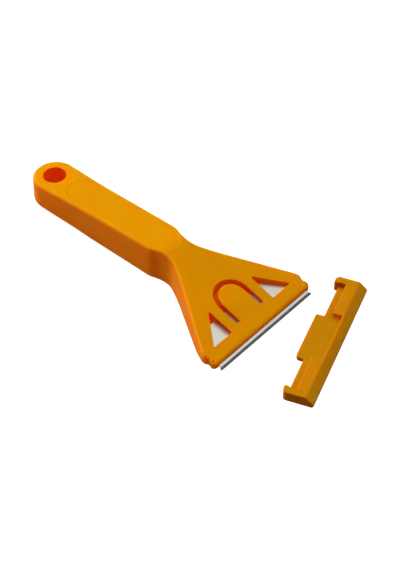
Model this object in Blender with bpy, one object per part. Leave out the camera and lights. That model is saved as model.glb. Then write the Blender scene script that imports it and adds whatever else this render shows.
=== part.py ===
"""Aquarium algae scraper: a moulded handle and head, its spring tongue, a steel blade and a loose blade guard.

Sizes are in millimetres in the constants and turned into metres as the meshes are made. The handle points
along X with the blade at +X, Z is up, and the scraper and its guard lie on the plane Z = 0.
"""

import math

import bmesh
import bpy
from mathutils import Matrix, Vector

MM = 0.001

# The middle of the whole outline, taken off every place so that the part stands over the world origin.
CENTRE_X = 78.655
CENTRE_Y = 7.378

# Handle and head seen from above. Places are measured from the axis of the hanging hole.
REAR_RADIUS = 10.0
HANDLE_SIDE = [(0.0, 10.0), (8.0, 9.75), (20.0, 9.25), (40.0, 9.1), (60.0, 9.05)]
NECK_SIDE = [(60.0, 9.05), (65.0, 8.95), (68.0, 7.95), (71.0, 7.15), (74.5, 6.9), (78.0, 7.7), (82.0, 9.7),
             (87.0, 12.7)]
HEAD_CORNER = (92.0, 16.0)
SHOULDER_SIDE = [(114.6, 31.0), (116.1, 31.7), (117.4, 31.7), (118.7, 31.1), (119.9, 31.3), (121.1, 31.75)]
FRONT_CORNER = [(121.1, 31.75), (122.1, 31.4), (122.7, 30.6), (122.9, 29.4)]
FRONT_X = 122.9
NOTCH_X = 113.0

# Seen from the side, the handle rises a little towards the neck and the head falls to the mouth. The underside
# lifts a little towards the rear end.
HANDLE_TOP = (15.16, 0.043)
HEAD_TOP = (39.95, -0.299)
TOP_BLEND = 1.2
UNDERSIDE = [(-10.0, 1.9), (8.0, 1.1), (30.0, 0.0), (124.0, 0.0)]

TOP_FILLET = [(-10.0, 1.6), (62.0, 1.6), (78.0, 1.3), (112.0, 1.2), (124.0, 1.2)]
BOTTOM_FILLET = [(-10.0, 2.0), (62.0, 1.4), (78.0, 0.8), (112.0, 0.7), (118.0, 0.4), (124.0, 0.4)]
SIDE_DRAFT = [(-10.0, 0.0), (66.0, 0.0), (80.0, 0.8), (110.0, 0.8), (116.0, 0.0), (124.0, 0.0)]
FILLET_STEPS = 5

HOLE_RADIUS = 5.27
HOLE_EDGE = 0.35
RECESS_DEPTH = 0.4
RECESS_RADIUS = 7.7
RECESS_REAR_X = 18.1
RECESS_FRONT_X = 65.3

# Hollows in the underside, between the side walls, the ribs and the roof.
WALL = 2.0
ROOF = 2.2
RIBS_X = (12.1, 38.5, 65.0)
RIB = 1.6
NECK_CELL_END = 94.6
BED_CELL = (96.6, 108.0)

# The blade lies on its own slope below the head's top. The rule gives the height of its upper face.
BLADE_TOP = (26.512, -0.208)
GAP = 0.3
BLADE_THICK = 0.4
BED = 1.4

# Thin top over the blade: the bridges between the openings, the tongue, and the hollow below them.
BRIDGE_THICK = 1.0
TONGUE_THICK = 1.4
CHAMBER_REAR_X = 107.4
CHAMBER_MARGIN = 0.3

# Blade pocket and blade.
POCKET_REAR = (96.6, 13.5)
POCKET_STOP = (106.4, 17.0)
BLADE_BACK = (106.8, 20.3)
BLADE_EDGE = (125.2, 30.0)
BLADE_BEVEL = 1.15
BLADE_EDGE_THICK = 0.05

# Openings in the top of the head.
SLOT_CENTRE_X = 106.0
SLOT_OUTER = 8.85
SLOT_INNER = 6.5
SLOT_END_X = 115.5
WINDOW_INNER_Y = 13.55
WINDOW_FRONT_X = 116.9
WINDOW_OUTER_Y = 24.9
WINDOW_REAR_X = 104.9
WINDOW_REAR_Y = 14.5
WINDOW_ROUND = 0.55

# Blade guard, in its own frame: u points away from the blade, v along the guard. The front is (z, u) pairs.
GUARD_PLACE = (154.85, 12.80)
GUARD_TURN = 19.9
GUARD_HALF = 35.8
GUARD_BASE = 2.2
GUARD_HEIGHT = 5.3
GUARD_FRONT = [(0.0, -0.7), (0.9, 0.2), (2.0, 0.2), (5.3, -3.3)]
GUARD_WALL_BACK = -4.1
GUARD_BASE_BACK = -12.05
GUARD_LIP_BACK = -8.6
GUARD_LIP_THICK = 1.0
GUARD_MIDDLE = (-13.0, 13.8)
GUARD_CAP_BACK = -13.9
GUARD_CAP_INNER = 32.4
GUARD_CAP_ROUND = 2.4
GUARD_HOOK = 0.5
GUARD_HOOK_LENGTH = 2.2
GUARD_TAB_BACK = -15.75
GUARD_TAB_ROUNDS = (1.6, 0.7)


def clear_scene():
    """Remove every object that the file opened with."""
    for obj in list(bpy.data.objects):
        bpy.data.objects.remove(obj, do_unlink=True)


def material(name, colour, roughness, metallic=0.0):
    """Make a Principled material."""
    made = bpy.data.materials.new(name)
    made.use_nodes = True
    shader = made.node_tree.nodes["Principled BSDF"]
    shader.inputs["Base Color"].default_value = (*colour, 1.0)
    shader.inputs["Roughness"].default_value = roughness
    shader.inputs["Metallic"].default_value = metallic
    return made


def lerp_table(table, x):
    """Read a value at x from a table of (x, value) pairs."""
    if x <= table[0][0]:
        return table[0][1]
    for (x0, a), (x1, b) in zip(table, table[1:]):
        if x <= x1:
            return a + (b - a) * (x - x0) / (x1 - x0)
    return table[-1][1]


def line(rule, x):
    """Read a straight rule (height at 0, slope) at x."""
    return rule[0] + rule[1] * x


def top_z(x):
    """Height of the top surface at x: the lower of the handle's and the head's slopes, blended."""
    a = line(HANDLE_TOP, x)
    b = line(HEAD_TOP, x)
    return 0.5 * (a + b - math.hypot(a - b, TOP_BLEND))


def spline(points, steps):
    """Catmull-Rom curve through points, its ends included."""
    padded = [points[0], *points, points[-1]]
    out = []
    for i in range(1, len(padded) - 2):
        p = [Vector(q) for q in padded[i - 1:i + 3]]
        for k in range(steps):
            t = k / steps
            out.append(0.5 * (2 * p[1] + (p[2] - p[0]) * t + (2 * p[0] - 5 * p[1] + 4 * p[2] - p[3]) * t ** 2
                              + (3 * p[1] - p[0] - 3 * p[2] + p[3]) * t ** 3))
    out.append(Vector(points[-1]))
    return out


def side_outline():
    """Points of the far side seen from above, from the rear end to the front corner."""
    arc = []
    for k in range(1, 12):
        angle = math.pi - 0.5 * math.pi * k / 12
        arc.append(Vector((REAR_RADIUS * math.cos(angle), REAR_RADIUS * math.sin(angle))))
    neck = spline([*NECK_SIDE, HEAD_CORNER], 3)
    handle = spline(HANDLE_SIDE, 2)[:-1]
    flank = [neck[-1].lerp(Vector(SHOULDER_SIDE[0]), k / 4) for k in (1, 2, 3)]
    shoulder = spline(SHOULDER_SIDE, 3)[:-1]
    corner = spline(FRONT_CORNER, 3)
    return arc + handle + neck + flank + shoulder + corner


def outward(points):
    """Unit normals of an open outline that runs from the rear tip to the front, on its far side."""
    start = Vector((points[0].x, -points[0].y))
    end = Vector((points[-1].x, -points[-1].y))
    ring = [start, *points, end]
    normals = []
    for before, after in zip(ring, ring[2:]):
        along = (after - before).normalized()
        normals.append(Vector((-along.y, along.x)))
    return normals


def place(x, y, z):
    """Turn millimetres from the hanging hole into metres from the world origin."""
    return ((x - CENTRE_X) * MM, (y - CENTRE_Y) * MM, z * MM)


def new_object(name, bm, skin=None):
    """Make an object from a bmesh with its faces turned out."""
    bmesh.ops.remove_doubles(bm, verts=bm.verts, dist=1e-7)
    bmesh.ops.recalc_face_normals(bm, faces=bm.faces)
    mesh = bpy.data.meshes.new(name)
    bm.to_mesh(mesh)
    bm.free()
    obj = bpy.data.objects.new(name, mesh)
    bpy.context.scene.collection.objects.link(obj)
    if skin is not None:
        mesh.materials.append(skin)
    return obj


def loft(name, rings, skin=None, strips=0):
    """Join closed rings of equal length into one closed body.

    The ends are closed with strips across the first pairs of mirrored points, then with one face.
    """
    bm = bmesh.new()
    loops = [[bm.verts.new(place(*p)) for p in ring] for ring in rings]
    for low, high in zip(loops, loops[1:]):
        for k in range(len(low)):
            n = (k + 1) % len(low)
            bm.faces.new((low[k], low[n], high[n], high[k]))
    for cap in (loops[0], loops[-1]):
        for k in range(strips):
            bm.faces.new((cap[k], cap[k + 1], cap[-2 - k], cap[-1 - k]))
        rest = cap[strips:len(cap) - strips]
        if len(rest) > 2:
            bm.faces.new(rest)
    return new_object(name, bm, skin)


def prism(name, outline, low, high, skin=None):
    """Extrude an outline of (x, y) points between two heights given as functions of x."""
    return loft(name, [[(x, y, rule(x)) for x, y in outline] for rule in (low, high)], skin)


def mirrored(points):
    """Close a far-side outline with its mirror image."""
    return points + [(x, -y) for x, y in reversed(points)]


def arc_points(cx, cy, radius, start, end, steps):
    """Points on an arc, both ends included, angles in degrees."""
    out = []
    for k in range(steps + 1):
        a = math.radians(start + (end - start) * k / steps)
        out.append((cx + radius * math.cos(a), cy + radius * math.sin(a)))
    return out


def cut(target, cutter):
    """Cut one object with another and keep the cutter hidden."""
    cutter.hide_render = True
    cutter.display_type = "WIRE"
    modifier = target.modifiers.new(cutter.name, "BOOLEAN")
    modifier.operation = "DIFFERENCE"
    modifier.solver = "EXACT"
    modifier.object = cutter


def shade(obj, angle=32.0):
    """Shade smooth and keep edges sharper than the angle."""
    obj.data.shade_smooth()
    obj.data.set_sharp_from_angle(angle=math.radians(angle))


def body_blank(skin):
    """The outer form of the handle and head, before anything is cut from it."""
    side = side_outline()
    normals = outward(side)
    rings = []
    for part in ("bottom", "top"):
        for k in range(FILLET_STEPS + 1):
            turn = 0.5 * math.pi * k / FILLET_STEPS
            far = []
            for p, n in zip(side, normals):
                draft = lerp_table(SIDE_DRAFT, p.x)
                if part == "bottom":
                    radius = lerp_table(BOTTOM_FILLET, p.x)
                    q = p + n * (draft - radius * (1.0 - math.sin(turn)))
                    z = lerp_table(UNDERSIDE, q.x) + radius * (1.0 - math.cos(turn))
                else:
                    radius = lerp_table(TOP_FILLET, p.x)
                    q = p - n * radius * (1.0 - math.cos(turn))
                    z = top_z(q.x) - radius * (1.0 - math.sin(turn))
                far.append((q.x, q.y, z))
            near = [(x, -y, z) for x, y, z in reversed(far)]
            rings.append(far + near)
    return loft("scraper_body", rings, skin, sum(p.x < NOTCH_X for p in side))


def cell(name, start, end, roof, steps):
    """A hollow in the underside from start to end, its roof height given as a function of x."""
    side = [(p.x, p.y) for p in side_outline()]
    stations = [start + (end - start) * k / steps for k in range(steps + 1)]
    outline = mirrored([(x, lerp_table(side, x) - WALL) for x in stations])
    rings = [[(x, y, -1.0) for x, y in outline], [(x, y, roof(x)) for x, y in outline]]
    return loft(name, rings, strips=steps)


def hole_cutter():
    """The hanging hole with eased edges."""
    high = line(HANDLE_TOP, 0.0)
    levels = [(-1.0, 1.0 + HOLE_EDGE), (0.0, HOLE_EDGE), (HOLE_EDGE, 0.0),
              (high - HOLE_EDGE, 0.0), (high, HOLE_EDGE), (high + 1.0, 1.0 + HOLE_EDGE)]
    rings = []
    for z, extra in levels:
        rings.append([(x, y, z) for x, y in arc_points(0, 0, HOLE_RADIUS + extra, 0, 352.5, 47)])
    return loft("cut_hanging_hole", rings)


def recess_cutter():
    """The shallow panel in the handle's top."""
    rear = arc_points(RECESS_REAR_X, 0, RECESS_RADIUS, 176, 90, 10)
    middle = [(RECESS_REAR_X + (RECESS_FRONT_X - RECESS_REAR_X) * k / 6, RECESS_RADIUS) for k in range(1, 6)]
    front = arc_points(RECESS_FRONT_X, 0, RECESS_RADIUS, 90, 4, 12)
    outline = mirrored(rear + middle + front)
    rings = [[(x, y, top_z(x) + rise) for x, y in outline] for rise in (-RECESS_DEPTH, 3.0)]
    return loft("cut_handle_recess", rings, strips=len(outline) // 2 - 1)


def head_top(x):
    """Height of the head's top at x."""
    return line(HEAD_TOP, x)


def over_blade(rise):
    """A height rule that lies a given distance above the top of the blade."""
    return lambda x: line(BLADE_TOP, x) + rise


def under_top(depth):
    """A height rule that lies a given depth below the head's top."""
    return lambda x: head_top(x) - depth


def chamber_cutter():
    """The hollow over the blade that leaves the bridges between the openings thin."""
    half = WINDOW_INNER_Y + CHAMBER_MARGIN
    far = [(CHAMBER_REAR_X, half), (SLOT_END_X + CHAMBER_MARGIN, half)]
    return prism("cut_blade_chamber", mirrored(far), over_blade(0.5 * GAP), under_top(BRIDGE_THICK))


def pocket_cutter():
    """The gap that takes the blade, open at the mouth, with a step for the blade's back edge."""
    widen = (BLADE_EDGE[1] - BLADE_BACK[1]) / (BLADE_EDGE[0] - BLADE_BACK[0])
    end_x = FRONT_X + 3.0
    far = [POCKET_REAR, POCKET_STOP, (POCKET_STOP[0], BLADE_BACK[1] + GAP),
           (end_x, BLADE_BACK[1] + GAP + widen * (end_x - POCKET_STOP[0]))]
    return prism("cut_blade_pocket", mirrored(far), over_blade(-GAP - BLADE_THICK), over_blade(GAP))


def slot_cutter():
    """The arch opening in the head's top that frees the tongue on three sides."""
    far = arc_points(SLOT_CENTRE_X, 0, SLOT_OUTER, 180, 90, 16)[1:]
    far.append((SLOT_END_X, SLOT_OUTER))
    return prism("cut_arch_opening", mirrored(far), over_blade(0.5 * GAP), over_blade(12.0))


def window_cutter(side):
    """One three-cornered window beside the tongue. side is 1 for the far one and -1 for the near one."""
    rear = arc_points(WINDOW_REAR_X, WINDOW_REAR_Y - 0.35, WINDOW_ROUND, 225, 125, 4)
    outline = [(WINDOW_FRONT_X, WINDOW_INNER_Y)]
    outline += rear
    outline += [(WINDOW_FRONT_X - 0.3, WINDOW_OUTER_Y), (WINDOW_FRONT_X, WINDOW_OUTER_Y - 0.1)]
    outline = [(x, side * y) for x, y in outline]
    name = "cut_window_far" if side > 0 else "cut_window_near"
    return prism(name, outline, over_blade(0.5 * GAP), over_blade(12.0))


def build_body(skin):
    """The one-piece moulding: handle, neck and head."""
    body = body_blank(skin)
    shade(body)
    cut(body, hole_cutter())
    cut(body, recess_cutter())
    starts = [x + 0.5 * RIB for x in RIBS_X]
    ends = [x - 0.5 * RIB for x in RIBS_X[1:]]

    def roof(x):
        """Height of the hollows' roof at x."""
        return top_z(x) - ROOF

    cut(body, cell("cut_rear_cell", starts[0], ends[0], roof, 4))
    cut(body, cell("cut_middle_cell", starts[1], ends[1], roof, 5))
    cut(body, cell("cut_neck_cell", starts[2], NECK_CELL_END, roof, 14))
    cut(body, cell("cut_bed_cell", *BED_CELL, over_blade(-GAP - BLADE_THICK - BED), 4))
    cut(body, pocket_cutter())
    cut(body, chamber_cutter())
    cut(body, slot_cutter())
    cut(body, window_cutter(1))
    cut(body, window_cutter(-1))
    return body


def build_tongue(skin):
    """The springy tongue inside the arch opening, hinged at its front."""
    far = arc_points(SLOT_CENTRE_X, 0, SLOT_INNER, 180, 90, 16)[1:]
    far.append((SLOT_END_X - GAP, SLOT_INNER))
    tongue = prism("spring_tongue", mirrored(far), under_top(TONGUE_THICK), head_top, skin)
    tongue_axis = place(SLOT_END_X - GAP, 0.0, line(HEAD_TOP, SLOT_END_X - GAP))
    tongue.data.transform(Matrix.Translation(-Vector(tongue_axis)))
    tongue.location = tongue_axis
    shade(tongue)
    return tongue


def build_blade(skin):
    """The steel blade: a thin plate, wider at its cutting edge, ground from above."""
    (back_x, back_y), (edge_x, edge_y) = BLADE_BACK, BLADE_EDGE
    ground_x = edge_x - BLADE_BEVEL
    ground_y = edge_y - (edge_y - back_y) * BLADE_BEVEL / (edge_x - back_x)
    profile = [(back_x, back_y, 0.0), (ground_x, ground_y, 0.0), (edge_x, edge_y, BLADE_THICK - BLADE_EDGE_THICK),
               (edge_x, edge_y, BLADE_THICK), (back_x, back_y, BLADE_THICK)]
    rings = []
    for side in (-1, 1):
        rings.append([(x, side * y, line(BLADE_TOP, x) - depth) for x, y, depth in profile])
    return loft("blade", rings, skin)


def guard_point(u, v, z):
    """Turn the guard's own u, v and z into millimetres from the hanging hole."""
    a = math.radians(GUARD_TURN)
    x = GUARD_PLACE[0] + u * math.cos(a) - v * math.sin(a)
    y = GUARD_PLACE[1] + u * math.sin(a) + v * math.cos(a)
    return (x, y, z)


def guard_is_solid(u, v, z):
    """Say whether the guard has plastic at a place given in its own frame."""
    across = abs(v)
    middle = GUARD_MIDDLE[0] < v < GUARD_MIDDLE[1]
    cap = across > GUARD_CAP_INNER and u > GUARD_CAP_BACK
    hook_end = GUARD_CAP_BACK + GUARD_HOOK_LENGTH
    hook = across > GUARD_CAP_INNER - GUARD_HOOK and GUARD_CAP_BACK < u < hook_end
    wall = u > GUARD_WALL_BACK
    lip = z > GUARD_HEIGHT - GUARD_LIP_THICK and u > GUARD_LIP_BACK and not middle
    floor = z < GUARD_BASE and (u > GUARD_BASE_BACK or middle)
    return cap or hook or wall or lip or floor


def guard_cells():
    """The guard's skin with sharp edges, from a grid of full and empty cells."""
    us = sorted({GUARD_TAB_BACK, GUARD_CAP_BACK, GUARD_BASE_BACK, GUARD_CAP_BACK + GUARD_HOOK_LENGTH,
                 GUARD_LIP_BACK, GUARD_WALL_BACK, GUARD_FRONT[1][1]})
    ends = [GUARD_HALF, GUARD_CAP_INNER, GUARD_CAP_INNER - GUARD_HOOK]
    vs = [-v for v in ends] + list(GUARD_MIDDLE) + ends[::-1]
    zs = sorted({z for z, u in GUARD_FRONT} | {GUARD_BASE, GUARD_HEIGHT - GUARD_LIP_THICK})
    bm = bmesh.new()
    corners = {}

    def corner(i, j, k):
        """The grid's corner i, j, k, made once."""
        if (i, j, k) not in corners:
            u = lerp_table(GUARD_FRONT, zs[k]) if i == len(us) - 1 else us[i]
            corners[i, j, k] = bm.verts.new(place(*guard_point(u, vs[j], zs[k])))
        return corners[i, j, k]

    def full(i, j, k):
        """Say whether the grid's cell i, j, k is inside the guard."""
        if not (0 <= i < len(us) - 1 and 0 <= j < len(vs) - 1 and 0 <= k < len(zs) - 1):
            return False
        return guard_is_solid(0.5 * (us[i] + us[i + 1]), 0.5 * (vs[j] + vs[j + 1]), 0.5 * (zs[k] + zs[k + 1]))

    sides = {(1, 0, 0): ((1, 0, 0), (1, 1, 0), (1, 1, 1), (1, 0, 1)),
             (-1, 0, 0): ((0, 0, 0), (0, 0, 1), (0, 1, 1), (0, 1, 0)),
             (0, 1, 0): ((0, 1, 0), (0, 1, 1), (1, 1, 1), (1, 1, 0)),
             (0, -1, 0): ((0, 0, 0), (1, 0, 0), (1, 0, 1), (0, 0, 1)),
             (0, 0, 1): ((0, 0, 1), (1, 0, 1), (1, 1, 1), (0, 1, 1)),
             (0, 0, -1): ((0, 0, 0), (0, 1, 0), (1, 1, 0), (1, 0, 0))}
    cells = [(i, j, k) for i in range(len(us) - 1) for j in range(len(vs) - 1) for k in range(len(zs) - 1)]
    for i, j, k in cells:
        for (di, dj, dk), side in sides.items():
            if full(i, j, k) and not full(i + di, j + dj, k + dk):
                bm.faces.new([corner(i + a, j + b, k + c) for a, b, c in side])
    bmesh.ops.dissolve_limit(bm, angle_limit=math.radians(1.0), verts=bm.verts, edges=bm.edges)
    return bm


def round_upright(bm, u, v, radius):
    """Round the upright edges over one corner of the guard's plan."""
    foot = Vector(place(*guard_point(u, v, 0.0))[:2])
    edges = [e for e in bm.edges if all((q.co.xy - foot).length < 0.01 * MM for q in e.verts)]
    bmesh.ops.bevel(bm, geom=edges, offset=radius * MM, segments=5, profile=0.5, affect="EDGES")


def build_guard(skin):
    """The loose guard: a base with a middle tab, a front wall, two lips and two end caps."""
    bm = guard_cells()
    for v, radius in zip(GUARD_MIDDLE, GUARD_TAB_ROUNDS):
        round_upright(bm, GUARD_TAB_BACK, v, radius)
    for v in (-GUARD_HALF, GUARD_HALF):
        round_upright(bm, GUARD_CAP_BACK, v, GUARD_CAP_ROUND)
    guard = new_object("blade_guard", bm, skin)
    shade(guard)
    return guard


def main():
    """Build every piece."""
    clear_scene()
    plastic = material("orange_plastic", (0.72, 0.30, 0.01), 0.42)
    tongue_plastic = material("tongue_plastic", (0.72, 0.30, 0.01), 0.42)
    steel = material("blade_steel", (0.62, 0.63, 0.60), 0.3, 1.0)
    guard_plastic = material("guard_plastic", (0.66, 0.27, 0.01), 0.45)
    build_body(plastic)
    build_tongue(tongue_plastic)
    build_blade(steel)
    build_guard(guard_plastic)


main()
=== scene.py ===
"""Algae scraper: a moulded handle and head, a spring tongue, a steel blade and a loose blade guard.

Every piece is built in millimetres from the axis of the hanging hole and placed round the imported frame.
"""

import logging
import math
from dataclasses import dataclass, field
from enum import Enum
from typing import Callable, Sequence

import bmesh
import bpy
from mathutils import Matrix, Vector


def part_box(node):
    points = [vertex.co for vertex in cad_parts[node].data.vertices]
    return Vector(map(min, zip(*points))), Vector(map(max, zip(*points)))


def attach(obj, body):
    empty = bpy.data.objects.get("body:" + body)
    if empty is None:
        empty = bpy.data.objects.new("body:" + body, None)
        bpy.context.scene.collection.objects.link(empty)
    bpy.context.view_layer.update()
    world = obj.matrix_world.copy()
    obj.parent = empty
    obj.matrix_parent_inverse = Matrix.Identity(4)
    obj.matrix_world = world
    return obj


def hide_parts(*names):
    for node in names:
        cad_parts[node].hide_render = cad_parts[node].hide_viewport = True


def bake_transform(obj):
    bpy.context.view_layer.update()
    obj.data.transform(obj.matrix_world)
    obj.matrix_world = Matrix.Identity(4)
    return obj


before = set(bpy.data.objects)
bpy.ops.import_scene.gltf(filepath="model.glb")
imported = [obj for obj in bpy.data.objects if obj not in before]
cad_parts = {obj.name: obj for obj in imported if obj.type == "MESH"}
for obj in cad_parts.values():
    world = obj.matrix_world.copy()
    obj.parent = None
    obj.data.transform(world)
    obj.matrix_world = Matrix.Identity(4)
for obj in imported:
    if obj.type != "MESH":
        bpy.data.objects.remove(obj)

LOG = logging.getLogger("algae_scraper")
MM = 0.001

# Angles round an eased edge, in degrees: 0 lies on the wall and 90 on the flat.
EASED_TURNS = (0.0, 25.0, 50.0, 75.0)
MOUTH_TURNS = (0.0, 15.0, 45.0, 75.0)

# How close two points are joined, in metres: while building, after carving, and for faces without area.
JOIN, WELD, SLIVER = 1e-7, 2e-6, 1e-6

# How near an outline's point counts as on a line, in millimetres.
TOUCH = 1e-6

# The most that a mitred corner stretches its normal, as the cosine that it is divided by.
MITRE_LIMIT = 0.5

# Socket numbers of a Mix node that mixes colours.
MIX_A, MIX_B, MIX_RESULT = 6, 7, 2

Tree = bpy.types.NodeTree
Node = bpy.types.Node
Object = bpy.types.Object
Material = bpy.types.Material
Mesh = bmesh.types.BMesh
Corner = bmesh.types.BMVert
Point2 = tuple[float, float]
Point3 = tuple[float, float, float]
Colour = tuple[float, float, float]
Rule = Callable[[float], float]


class Body(Enum):
    """The rigid bodies that a piece can ride on."""

    SCRAPER = "body"
    TONGUE = "tongue"
    BLADE = "blade"
    GUARD = "guard"


class Slot(Enum):
    """The material slots' names."""

    PLASTIC = "orange_plastic"
    TONGUE = "tongue_plastic"
    STEEL = "blade_steel"
    GUARD = "guard_plastic"


# ------------------------------------------------------------------------------------------- geometry helpers


def lerp_table(table: Sequence[Point2], x: float) -> float:
    """Read a value from a table of rising x.

    Args:
        table: pairs of x and value.
        x: where to read.

    Returns:
        The value at x, held level past both ends.
    """
    if x <= table[0][0]:
        return table[0][1]
    for (x0, a), (x1, b) in zip(table, table[1:]):
        if x <= x1:
            return a + (b - a) * (x - x0) / (x1 - x0)
    return table[-1][1]


def spline(points: Sequence[Point2], steps: int) -> list[Vector]:
    """Run a Catmull-Rom curve through points.

    Args:
        points: what the curve passes through.
        steps: pieces between each two points.

    Returns:
        The curve's points, both ends included.
    """
    padded = [points[0], *points, points[-1]]
    out: list[Vector] = []
    for i in range(1, len(padded) - 2):
        p = [Vector(q) for q in padded[i - 1:i + 3]]
        for k in range(steps):
            t = k / steps
            out.append(0.5 * (2 * p[1] + (p[2] - p[0]) * t + (2 * p[0] - 5 * p[1] + 4 * p[2] - p[3]) * t ** 2
                              + (3 * p[1] - p[0] - 3 * p[2] + p[3]) * t ** 3))
    out.append(Vector(points[-1]))
    return out


def arc(centre: Point2, radius: float, start: float, end: float, steps: int) -> list[Vector]:
    """Points on an arc.

    Args:
        centre: the arc's centre.
        radius: its radius.
        start: first angle in degrees.
        end: last angle in degrees.
        steps: pieces of the arc.

    Returns:
        The points, both ends included.
    """
    turns = [math.radians(start + (end - start) * k / steps) for k in range(steps + 1)]
    return [Vector((centre[0] + radius * math.cos(a), centre[1] + radius * math.sin(a))) for a in turns]


def mirrored(far: Sequence[Vector]) -> list[Vector]:
    """Close a far-side outline with its mirror image in the scraper's middle plane."""
    return [*far, *[Vector((p.x, -p.y)) for p in reversed(far)]]


def normals(outline: Sequence[Vector]) -> list[Vector]:
    """Unit normals of a closed outline, to the left of its direction, with corners mitred.

    Args:
        outline: the outline's points in order.

    Returns:
        One normal for each point, longer at a corner so that an offset keeps its distance from both sides.
    """
    out: list[Vector] = []
    count = len(outline)
    for k in range(count):
        before = (outline[k] - outline[k - 1]).normalized()
        after = (outline[(k + 1) % count] - outline[k]).normalized()
        a = Vector((-before.y, before.x))
        b = Vector((-after.y, after.x))
        middle = (a + b).normalized()
        out.append(middle / max(MITRE_LIMIT, middle.dot(a)))
    return out


def eased(radius: float, turns: Sequence[float]) -> list[Point2]:
    """Points round a quarter circle that eases the edge between a wall and a flat.

    Args:
        radius: the circle's radius.
        turns: where the points lie, in degrees from the wall.

    Returns:
        For each point, its distance from the wall and from the flat.
    """
    turned = [math.radians(turn) for turn in turns]
    return [(radius * (1 - math.cos(turn)), radius * (1 - math.sin(turn))) for turn in turned]


@dataclass(frozen=True)
class Station:
    """One ring of a wall: how far it stands out from the outline, and its height rule."""

    out: float
    height: Rule


@dataclass(frozen=True)
class Workshop:
    """Turns millimetres from the hanging hole into the frame, and makes objects there."""

    hole_x: float
    middle_y: float

    def place(self, x: float, y: float, z: float) -> Vector:
        """Turn a place in millimetres into metres in the frame."""
        return Vector((self.hole_x + x * MM, self.middle_y + y * MM, z * MM))

    def add(self, name: str, bm: Mesh) -> Object:
        """Make an object from a bmesh.

        Args:
            name: the object's name.
            bm: its mesh, which is freed.

        Returns:
            The new object, its faces turned out.
        """
        bmesh.ops.remove_doubles(bm, verts=bm.verts, dist=JOIN)
        bmesh.ops.recalc_face_normals(bm, faces=bm.faces)
        mesh = bpy.data.meshes.new(name)
        bm.to_mesh(mesh)
        bm.free()
        made = bpy.data.objects.new(name, mesh)
        bpy.context.scene.collection.objects.link(made)
        return made

    def rings(self, name: str, rings: Sequence[Sequence[Point3]], strips: int = 0) -> Object:
        """Join closed rings into one closed body.

        Args:
            name: the object's name.
            rings: rings of equal length, each a list of places in millimetres.
            strips: how many strips between mirrored points close each end before one face closes the rest.

        Returns:
            The new object.
        """
        bm = bmesh.new()
        loops = [[bm.verts.new(self.place(*p)) for p in ring] for ring in rings]
        for low, high in zip(loops, loops[1:]):
            for k in range(len(low)):
                n = (k + 1) % len(low)
                bm.faces.new((low[k], low[n], high[n], high[k]))
        for cap in (loops[0], loops[-1]):
            for k in range(strips):
                bm.faces.new((cap[k], cap[k + 1], cap[-2 - k], cap[-1 - k]))
            rest = cap[strips:len(cap) - strips]
            if len(rest) > 2:
                bm.faces.new(rest)
        return self.add(name, bm)

    def wall(self, name: str, outline: Sequence[Vector], stations: Sequence[Station],
             ease: Sequence[float] | None = None, banded: bool = False) -> Object:
        """Build a body whose wall follows an outline through several stations.

        Args:
            name: the object's name.
            outline: the outline seen from above, its left side facing out.
            stations: the wall's rings from one end to the other.
            ease: how much of each station's offset a point takes, from 0 to 1.
            banded: close the ends with strips between mirrored points.

        Returns:
            The new object.
        """
        facing = normals(outline)
        share = ease or [1.0] * len(outline)
        rings: list[list[Point3]] = []
        for station in stations:
            ring: list[Point3] = []
            for p, n, s in zip(outline, facing, share):
                q = p + n * station.out * s
                ring.append((q.x, q.y, station.height(q.x)))
            rings.append(ring)
        return self.rings(name, rings, len(outline) // 2 - 1 if banded else 0)


def carve(target: Object, tools: Sequence[Object]) -> None:
    """Cut an object with tools, keep the result in its mesh and remove the tools.

    Args:
        target: the object to cut.
        tools: closed bodies.
    """
    for tool in tools:
        modifier = target.modifiers.new(tool.name, "BOOLEAN")
        modifier.operation = "DIFFERENCE"
        modifier.solver = "EXACT"
        modifier.object = tool
    settle(target)
    for tool in tools:
        bpy.data.objects.remove(tool, do_unlink=True)


def settle(target: Object) -> None:
    """Replace an object's mesh by what its modifiers make of it.

    Args:
        target: the object.
    """
    graph = bpy.context.evaluated_depsgraph_get()
    mesh = bpy.data.meshes.new_from_object(target.evaluated_get(graph), depsgraph=graph)
    target.modifiers.clear()
    target.data = mesh


def finish_surface(target: Object, angle: float = 30.0) -> None:
    """Clean a carved mesh, shade it smooth and keep its flats flat.

    Args:
        target: the object.
        angle: edges sharper than this many degrees stay crisp.
    """
    bm = bmesh.new()
    bm.from_mesh(target.data)
    bmesh.ops.remove_doubles(bm, verts=bm.verts, dist=WELD)
    bmesh.ops.dissolve_degenerate(bm, edges=bm.edges, dist=SLIVER)
    bm.to_mesh(target.data)
    bm.free()
    target.data.shade_smooth()
    target.data.set_sharp_from_angle(angle=math.radians(angle))
    weighted = target.modifiers.new("even_normals", "WEIGHTED_NORMAL")
    weighted.keep_sharp = True
    weighted.weight = 60


# ----------------------------------------------------------------------------------------------- node helpers


def group_tree(name: str, inputs: dict[str, float], *outputs: str,
               normals_out: Sequence[str] = ()) -> tuple[Tree, Node, Node]:
    """Start a shader node group.

    Args:
        name: the group's name.
        inputs: each input's name and default.
        outputs: the names of its outputs that are values.
        normals_out: the names of its outputs that are normals.

    Returns:
        The group, its input node and its output node.
    """
    tree = bpy.data.node_groups.new(name, "ShaderNodeTree")
    for label, default in inputs.items():
        socket = tree.interface.new_socket(label, in_out="INPUT", socket_type="NodeSocketFloat")
        socket.default_value = default
    for label in outputs:
        tree.interface.new_socket(label, in_out="OUTPUT", socket_type="NodeSocketFloat")
    for label in normals_out:
        tree.interface.new_socket(label, in_out="OUTPUT", socket_type="NodeSocketVector")
    return tree, tree.nodes.new("NodeGroupInput"), tree.nodes.new("NodeGroupOutput")


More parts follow.
